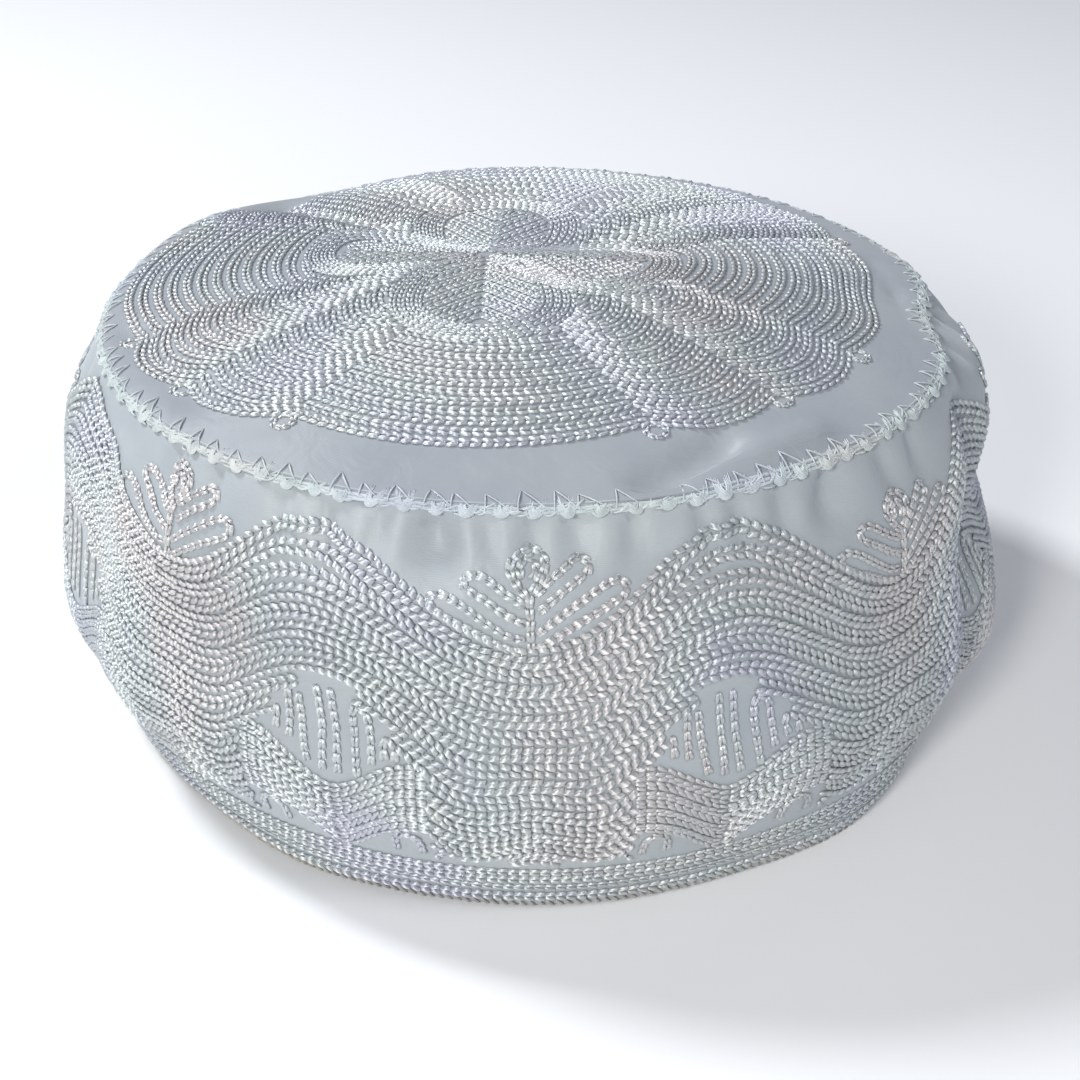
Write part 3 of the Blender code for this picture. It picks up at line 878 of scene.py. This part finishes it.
def kept_runs(row, keep, backwards=False):
    """The stretches of a row that are kept, as rows of their own, sewn forwards or backwards."""
    if backwards:
        row, keep = row[::-1], keep[::-1]
    edges = np.flatnonzero(np.diff(np.concatenate([[False], keep, [False]]).astype(int)))
    return [row[start:end] for start, end in zip(edges[::2], edges[1::2])]


def strip_move(moves, half_repeats):
    """A measured move of the strip, blended from one half repeat to the next."""
    before = np.floor(half_repeats).astype(int)
    part = ramp(half_repeats - before, 0, 1)
    moves = np.array(moves)
    return moves[before % len(moves)] * (1 - part) + moves[(before + 1) % len(moves)] * part


def on_strip(turn, share):
    """Points on the band for places of the embroidered strip's own pattern."""
    turn, share = np.broadcast_arrays(np.asarray(turn, float), np.asarray(share, float))
    half_repeats = turn / (CREST_TURN / 2)
    low, high = strip_move(STRIP_TURN_LOW, half_repeats), strip_move(STRIP_TURN_HIGH, half_repeats)
    up = np.clip((share - STRIP_LOW_SHARE) / (STRIP_HIGH_SHARE - STRIP_LOW_SHARE), 0, 1)
    lift = strip_move(STRIP_LIFT, half_repeats) * ramp(share, LIFT_FROM_SHARE, LIFT_FULL_SHARE)
    return on_band(turn + low + (high - low) * up, share + lift)


def wave_height(turn, row_number):
    """The share of a wave row at a turn from the nearest crest; rows lie closer in the troughs."""
    step = WAVE_ROW_STEP + (TROUGH_ROW_STEP - WAVE_ROW_STEP) * ramp(turn, TROUGH_TURN, CREST_TURN / 2)
    return WAVE_MIDDLE + WAVE_SWING * np.cos(math.pi * turn / (CREST_TURN / 2)) - step * row_number


wave_rows = []
for row_number in range(WAVE_ROWS):
    way_round = 1 if row_number % 2 else -1
    azimuth = way_round * np.linspace(-180, 180, WAVE_ROW_POINTS, endpoint=False)
    turn = turn_from(azimuth, CREST_TURN / 2)
    turn = np.abs((turn + CREST_TURN / 2) % CREST_TURN - CREST_TURN / 2)
    share = wave_height(turn, row_number)
    open_edge = np.interp(turn, *zip(*OPEN_EDGE))
    row = np.stack([azimuth, share], axis=-1)
    wave_rows.append([row] if row_number == 0 else kept_runs(row, share > open_edge))
for piece in WAVE_PIECES:
    rows = [row for runs in wave_rows[piece.first_row:piece.end_row] for row in runs]
    embroider(piece.name, on_strip, rows, STITCH_PITCH, STITCH_HALF_WIDTH, piece.seed, WAVE_PLUMP)

# In each trough a small fan of stitched loops stands up from the wave into the plain cloth:
# a stem with a round loop on top, and two long fingers to each side.
TROUGH_FAN = [
    # the stem
    [(0.0, 0.722), (-0.2, 0.84)],
    # the round loop and the one inside it
    [(-0.3, 0.835), (-1.6, 0.862), (-2.2, 0.885), (-1.7, 0.905), (-0.4, 0.916), (0.9, 0.909),
     (1.6, 0.893), (1.2, 0.874), (0.0, 0.845)],
    [(-1.1, 0.868), (-1.1, 0.893), (-0.2, 0.900), (0.5, 0.885), (0.1, 0.866)],
    # the upper and the lower finger to the right
    [(0.4, 0.840), (2.2, 0.868), (3.7, 0.886), (4.9, 0.898), (5.9, 0.896), (6.2, 0.883),
     (5.2, 0.868), (3.3, 0.848), (0.8, 0.812)],
    [(0.5, 0.764), (2.5, 0.795), (4.7, 0.823), (6.9, 0.848), (9.0, 0.863), (10.2, 0.855),
     (9.9, 0.838), (7.9, 0.816), (5.2, 0.789), (2.5, 0.757), (0.5, 0.730)],
    # the upper and the lower finger to the left
    [(-0.6, 0.822), (-2.5, 0.843), (-4.2, 0.865), (-5.4, 0.875), (-6.5, 0.868), (-6.4, 0.853),
     (-4.5, 0.831), (-2.6, 0.806), (-0.6, 0.786)],
    [(-0.6, 0.754), (-1.9, 0.757), (-3.6, 0.775), (-5.2, 0.797), (-6.8, 0.820), (-8.6, 0.836),
     (-10.0, 0.826), (-9.1, 0.803), (-7.5, 0.785), (-5.6, 0.766), (-3.4, 0.741), (-1.0, 0.722)],
]
FINE_PITCH = 0.00190
FINE_HALF_WIDTH = 0.00064
FAN_PLUMP = 0.82
STRAIGHT_POINTS = 40
CURVE_POINTS = 16


def smoothed(corners):
    """A chart's line drawn as a smooth curve through its corners."""
    corners = np.asarray(corners, float)
    if len(corners) < 3:
        part = np.linspace(0, 1, STRAIGHT_POINTS)[:, None]
        return corners[0] * (1 - part) + corners[-1] * part
    padded = np.concatenate([[2 * corners[0] - corners[1]], corners, [2 * corners[-1] - corners[-2]]])
    pieces = []
    for first, second, third, fourth in zip(padded, padded[1:], padded[2:], padded[3:]):
        u = np.linspace(0, 1, CURVE_POINTS, endpoint=False)[:, None]
        pieces.append(0.5 * (
            2 * second + (third - first) * u + (2 * first - 5 * second + 4 * third - fourth) * u ** 2
            + (3 * second - first - 3 * third + fourth) * u ** 3
        ))
    return np.concatenate(pieces + [corners[-1:]])


fan_rows = []
for trough in range(CRESTS):
    for line in TROUGH_FAN:
        fan_rows.append(smoothed(line) + (trough * CREST_TURN, 0.0))
embroider("trough_fans", on_strip, fan_rows, FINE_PITCH, FINE_HALF_WIDTH, 21, FAN_PLUMP)

# Under each crest an open lens of plain cloth holds upright chains, joined in pairs by turns.
# Below it a pointed block of nested rows fills down to the hem rows, with a small arch to each side.
LENS_CHAINS = [
    [(-6.4, 0.508), (-6.3, 0.460)],
    [(-4.7, 0.556), (-4.6, 0.450)],
    [(-3.4, 0.553), (-2.9, 0.465), (-2.4, 0.408)],
    [(-1.0, 0.583), (-0.7, 0.490), (-0.6, 0.398)],
    [(0.6, 0.583), (0.9, 0.488), (1.2, 0.398)],
    [(3.4, 0.400), (3.1, 0.470), (3.0, 0.540), (3.7, 0.553), (4.5, 0.545), (4.8, 0.500), (5.0, 0.435)],
    [(6.7, 0.500), (6.3, 0.485), (6.5, 0.452)],
    [(7.6, 0.478), (7.7, 0.452)],
]
BLOCK_ROWS = 8
BLOCK_TOP = [(-11.2, 0.442), (-9.0, 0.440), (-7.0, 0.428), (-4.5, 0.400), (-2.0, 0.374), (0.0, 0.360),
             (2.0, 0.370), (4.5, 0.400), (7.0, 0.430), (9.0, 0.440), (11.2, 0.442)]
BLOCK_BOTTOM = [(-11.2, 0.288), (-9.0, 0.285), (-6.5, 0.268), (-4.0, 0.234), (-1.5, 0.187), (0.0, 0.168),
                (1.5, 0.185), (4.0, 0.232), (6.5, 0.266), (9.0, 0.285), (11.2, 0.288)]
BLOCK_HALF_WIDTH = 0.00092
LENS_PLUMP = 0.84
BLOCK_PLUMP = 0.94
SIDE_ARCHES = [
    [(6.7, 0.188), (6.9, 0.236), (8.2, 0.256), (9.6, 0.238), (9.9, 0.190)],
    [(-6.7, 0.188), (-6.9, 0.236), (-8.2, 0.256), (-9.6, 0.238), (-9.9, 0.190)],
]
lens_rows, block_rows = [], []
for crest in range(CRESTS):
    middle = (crest + 0.5) * CREST_TURN
    for line in LENS_CHAINS + SIDE_ARCHES:
        lens_rows.append(smoothed(line) + (middle, 0.0))
    top, bottom = smoothed(BLOCK_TOP), smoothed(BLOCK_BOTTOM)
    for number in range(BLOCK_ROWS):
        row = top + (bottom - top) * number / (BLOCK_ROWS - 1) + (middle, 0.0)
        block_rows.append(row if number % 2 else row[::-1])
embroider("lens_chains", on_strip, lens_rows, FINE_PITCH, FINE_HALF_WIDTH, 31, LENS_PLUMP)
embroider("pointed_blocks", on_strip, block_rows, STITCH_PITCH, BLOCK_HALF_WIDTH, 32, BLOCK_PLUMP)

# Four rows of chain stitch run right round the cap over the turned hem and hold it up:
# a broad one near the edge, and three narrower ones above it.
HemRow = namedtuple("HemRow", "share half_width plump")
HEM_ROWS = [
    HemRow(0.046, 0.00150, 1.05),
    HemRow(0.084, 0.00095, 0.60),
    HemRow(0.118, 0.00125, 0.95),
    HemRow(0.146, 0.00100, 0.80),
]
HEM_ROW_POINTS = 1440
azimuth = np.linspace(-180, 180, HEM_ROW_POINTS, endpoint=False)
for number, row in enumerate(HEM_ROWS):
    line = np.stack([azimuth, np.full_like(azimuth, row.share)], axis=-1)
    name = f"hem_row_{number + 1}"
    embroider(name, on_band, [line], STITCH_PITCH, row.half_width, 41 + number, row.plump)

# The crown carries one large flower in chain stitch, built of nested scalloped rings. Four broad
# scallops face the front, back and sides, with two narrow ones between each pair, and a small
# ring of stitches stands at each join of the rim. The chart is in flower millimetres.
FLOWER_X = -0.0059
FLOWER_Y = 0.0027
FLOWER_ACROSS = 0.001102
FLOWER_DEEP = 0.000995
FLOWER_TURN = -4.0
SCALLOP_ROWS = 20
SCALLOP_ROW_STEP = 2.75
RIM_REACH = 70.0
ARC_MIDDLE_INNER = 5.0
ARC_MIDDLE_RIM = 21.0
BROAD_HALF_INNER = 18.0
BROAD_HALF_RIM = 25.0
NARROW_RISE_INNER = 6.4
NARROW_RISE_RIM = 4.3
SCALLOP_POINTS = 120
NARROW_POINTS = 60
QUARTER_TURN = 90
NARROW_END_OFF = 45
NARROW_END_STEP = 0.6
CROWN_PITCH = 0.00200
CROWN_HALF_WIDTH = 0.00104
CROWN_PLUMP = 0.92
RIM_RINGS = (25, 45, 65)
RIM_RING_REACH = 69.8
RIM_RING_RADIUS = 1.7
RIM_RING_POINTS = 40
RIM_RING_PITCH = 0.0014
RIM_RING_HALF_WIDTH = 0.0006
RIM_RING_PLUMP = 0.60

Petal = namedtuple("Petal", "turn length half_width")
PETALS = [
    Petal(4, 38.5, 15.5),
    Petal(83, 35.5, 16.5),
    Petal(180, 33.0, 15.5),
    Petal(265, 33.5, 14.5),
]
PETAL_MIDDLE = (-3.6, 0.4)
PETAL_BELLY = 0.62
PETAL_ROUNDNESS = 0.75
PETAL_POINT_SPREAD = 1.25
PETAL_MARGIN = 0.9


def to_plan(right, front):
    """Flower places, right of its middle and towards the front, as places in plan."""
    turn = math.radians(FLOWER_TURN)
    across = right * math.cos(turn) + front * math.sin(turn)
    deep = front * math.cos(turn) - right * math.sin(turn)
    return np.stack([FLOWER_X + across * FLOWER_ACROSS, FLOWER_Y - deep * FLOWER_DEEP], axis=-1)


def petal_half_width(petal, along, inset):
    """Half the width of a petal at a distance along it, inset inside its edge."""
    belly, widest = PETAL_BELLY * petal.length, petal.half_width - inset
    grow = widest * np.sin(math.pi / 2 * np.clip(along / belly, 0, 1)) ** PETAL_ROUNDNESS
    grow = np.minimum(grow, PETAL_POINT_SPREAD * along)
    tip = np.clip((along - belly) / (petal.length - inset - belly), 0, 1)
    return np.where(along < belly, grow, widest * np.sqrt(1 - tip ** 2))


def clear_of_petals(right, front):
    """Whether flower places lie outside all the petals."""
    clear = np.ones(np.shape(right), bool)
    for petal in PETALS:
        angle = math.radians(petal.turn)
        off_x, off_y = right - PETAL_MIDDLE[0], front - PETAL_MIDDLE[1]
        along = off_x * math.sin(angle) + off_y * math.cos(angle)
        side = np.abs(off_x * math.cos(angle) - off_y * math.sin(angle))
        beside = side < petal_half_width(petal, along, 0) + PETAL_MARGIN
        clear &= ~((along > 0) & (along < petal.length + PETAL_MARGIN) & beside)
    return clear


def polar(away, off):
    """Flower places from a distance and a turn from the front in degrees."""
    off = np.radians(off)
    return away * np.sin(off), away * np.cos(off)


broad_rows, narrow_rows, ring_rows = [], [], []
for number in range(SCALLOP_ROWS):
    reach = RIM_REACH - SCALLOP_ROW_STEP * number
    part = number / (SCALLOP_ROWS - 1)
    middle = ARC_MIDDLE_RIM + (ARC_MIDDLE_INNER - ARC_MIDDLE_RIM) * part
    half_turn = BROAD_HALF_RIM + (BROAD_HALF_INNER - BROAD_HALF_RIM) * part
    rise = NARROW_RISE_RIM + (NARROW_RISE_INNER - NARROW_RISE_RIM) * part
    radius = reach - middle
    off = np.linspace(-half_turn, half_turn, SCALLOP_POINTS)
    across, deep = polar(middle, off)
    away = deep + np.sqrt(radius ** 2 - across ** 2)
    for quarter in range(4):
        middle_off = QUARTER_TURN * quarter
        right, front = polar(away, off + middle_off)
        row, clear = to_plan(right, front), clear_of_petals(right, front)
        broad_rows += kept_runs(row, clear, backwards=number % 2 == 0)
        for side in (-1, 1):
            start = np.array(polar(away[-1], side * half_turn + middle_off))[:, None]
            end = np.array(polar(away[-1] + NARROW_END_STEP, side * NARROW_END_OFF + middle_off))[:, None]
            out = np.array(polar(1.0, side * (half_turn + NARROW_END_OFF) / 2 + middle_off))[:, None]
            step = np.linspace(0, 1, NARROW_POINTS)
            right, front = start + (end - start) * step + out * 4 * rise * step * (1 - step)
            row, clear = to_plan(right, front), clear_of_petals(right, front)
            narrow_rows += kept_runs(row, clear, backwards=number % 2 == 1)
circle_x, circle_y = polar(RIM_RING_RADIUS, np.linspace(0, 360, RIM_RING_POINTS))
for ring in [join + QUARTER_TURN * quarter for quarter in range(4) for join in RIM_RINGS]:
    ring_x, ring_y = polar(RIM_RING_REACH, ring)
    ring_rows.append(to_plan(ring_x + circle_x, ring_y + circle_y))
for name, rows, pitch, half_width, seed, plump in (
    ("crown_broad_scallops", broad_rows, CROWN_PITCH, CROWN_HALF_WIDTH, 51, CROWN_PLUMP),
    ("crown_narrow_scallops", narrow_rows, CROWN_PITCH, CROWN_HALF_WIDTH, 52, CROWN_PLUMP),
    ("crown_rim_rings", ring_rows, RIM_RING_PITCH, RIM_RING_HALF_WIDTH, 53, RIM_RING_PLUMP),
):
    embroider(name, on_crown, rows, pitch, half_width, seed, plump, CROWN_STEPS)

# In the middle of the flower are four round-ended petals. Each has nested outlines, and each half
# of its inside is filled with fine slanting rows that mirror the other half.
PETAL_OUTLINES = 4
OUTLINE_STEP = 1.5
OUTLINE_START = 4
OUTLINE_START_STEP = 1.8
OUTLINE_POINTS = 120
PETAL_ROW_STEP = 1.95
PETAL_ROW_SLANT = 50
PETAL_ROW_FIRST = -16
PETAL_ROW_LENGTH = 26
PETAL_ROW_POINTS = 160
PETAL_ROW_GAP = 0.2
FILLING_START = 2
FILLING_TIP_LAP = 0.6
FILLING_SIDE_LAP = 0.5
PETAL_PITCH = 0.00175
PETAL_THREAD_HALF_WIDTH = 0.00078
PETAL_PLUMP = 0.74


def from_petal(petal, along, side):
    """Plan places for places along and beside a petal's axis."""
    turn = math.radians(petal.turn)
    return to_plan(
        PETAL_MIDDLE[0] + along * math.sin(turn) + side * math.cos(turn),
        PETAL_MIDDLE[1] + along * math.cos(turn) - side * math.sin(turn),
    )


outline_rows, petal_rows = [], []
for petal in PETALS:
    for number in range(PETAL_OUTLINES):
        inset = OUTLINE_STEP * number
        along = (petal.length - inset) * np.sin(math.pi / 2 * np.linspace(0, 1, OUTLINE_POINTS))
        along = along[along > OUTLINE_START + OUTLINE_START_STEP * number]
        width = petal_half_width(petal, along, inset)
        out_and_back = np.concatenate([along, along[::-1]])
        outline_rows.append(from_petal(petal, out_and_back, np.concatenate([width, -width[::-1]])))
    inset = OUTLINE_STEP * PETAL_OUTLINES
    slant = math.radians(PETAL_ROW_SLANT)
    for half in (-1, 1):
        starts = np.arange(PETAL_ROW_FIRST, petal.length, PETAL_ROW_STEP / math.sin(slant))
        for number, start in enumerate(starts):
            step = np.linspace(0, PETAL_ROW_LENGTH, PETAL_ROW_POINTS)
            along, side = start + step * math.cos(slant), step * math.sin(slant) + PETAL_ROW_GAP
            keep = (along > FILLING_START) & (along < petal.length - inset + FILLING_TIP_LAP)
            keep &= side < petal_half_width(petal, along, inset) + FILLING_SIDE_LAP
            row = from_petal(petal, along, half * side)
            petal_rows += kept_runs(row, keep, backwards=number % 2 == 0)
for name, rows, seed in (("petal_outlines", outline_rows, 61), ("petal_fillings", petal_rows, 62)):
    embroider(
        name, on_crown, rows, PETAL_PITCH, PETAL_THREAD_HALF_WIDTH, seed, PETAL_PLUMP, CROWN_STEPS,
    )

# A plain pale floor under four soft round studio lights. The two strong ones stand in front on
# the left and at the back on the left, and two weak ones fill in from the right and from behind.
FLOOR_HALF = 1.6
FLOOR_TOP = -0.0002
LightPanel = namedtuple("LightPanel", "name place size power colour")
LIGHT_PANELS = [
    LightPanel("front", (-0.44, -0.96, 0.58), 0.26, 8.6, (1.0, 0.99, 0.965)),
    LightPanel("left", (-0.70, 0.34, 0.90), 0.22, 9.8, (0.94, 0.965, 1.0)),
    LightPanel("right", (0.66, -0.40, 0.92), 0.30, 3.0, (0.97, 0.98, 1.0)),
    LightPanel("behind", (0.60, 0.75, 0.85), 0.50, 0.6, (0.92, 0.95, 1.0)),
]
floor_mesh = bpy.data.meshes.new("floor")
floor_mesh.from_pydata(
    [(-FLOOR_HALF, -FLOOR_HALF, FLOOR_TOP), (FLOOR_HALF, -FLOOR_HALF, FLOOR_TOP),
     (FLOOR_HALF, FLOOR_HALF, FLOOR_TOP), (-FLOOR_HALF, FLOOR_HALF, FLOOR_TOP)],
    [], [(0, 1, 2, 3)],
)
floor_paint = bpy.data.materials.new("floor_paint")
floor_paint.use_nodes = True
floor_shader = floor_paint.node_tree.nodes["Principled BSDF"]
floor_shader.inputs["Base Color"].default_value = (0.88, 0.88, 0.88, 1.0)
floor_shader.inputs["Roughness"].default_value = 0.9
floor_mesh.materials.append(floor_paint)
floor = bpy.data.objects.new("floor", floor_mesh)
bpy.context.scene.collection.objects.link(floor)

aim = Vector((0.0, 0.0, 0.04))
for panel in LIGHT_PANELS:
    data = bpy.data.lights.new(panel.name, "AREA")
    data.shape = "DISK"
    data.size = panel.size
    data.energy = panel.power
    data.color = panel.colour
    lamp = bpy.data.objects.new(panel.name, data)
    lamp.location = panel.place
    lamp.rotation_euler = (aim - lamp.location).to_track_quat("-Z", "Y").to_euler()
    bpy.context.scene.collection.objects.link(lamp)

world = bpy.data.worlds.new("studio")
world.use_nodes = True
world.node_tree.nodes["Background"].inputs["Color"].default_value = (0.78, 0.84, 1.0, 1.0)
world.node_tree.nodes["Background"].inputs["Strength"].default_value = 0.24
bpy.context.scene.world = world
bpy.context.scene.view_settings.view_transform = "Standard"

# The camera stands in front of the cap and looks down on it, as the photograph was taken.
CAMERA_DISTANCE = 0.3745
CAMERA_ELEVATION = 0.56462
CAMERA_ROLL = 0.01682
CAMERA_LENS = 55.93
CAMERA_TARGET = Vector((0.0020, -0.0002, 0.02337))
look = Vector((0, math.cos(CAMERA_ELEVATION), -math.sin(CAMERA_ELEVATION)))
level_right = Vector((1, 0, 0))
level_up = level_right.cross(look)
rolled_right = level_right * math.cos(CAMERA_ROLL) + level_up * math.sin(CAMERA_ROLL)
rolled_up = level_up * math.cos(CAMERA_ROLL) - level_right * math.sin(CAMERA_ROLL)
lens = bpy.data.cameras.new("camera")
lens.lens = CAMERA_LENS
lens.sensor_width = 36.0
lens.sensor_fit = "HORIZONTAL"
lens.clip_start = 0.01
camera = bpy.data.objects.new("camera", lens)
camera.matrix_world = Matrix.Translation(CAMERA_TARGET - look * CAMERA_DISTANCE) @ Matrix((
    rolled_right, rolled_up, -look)).transposed().to_4x4()
bpy.context.scene.collection.objects.link(camera)
bpy.context.scene.camera = camera
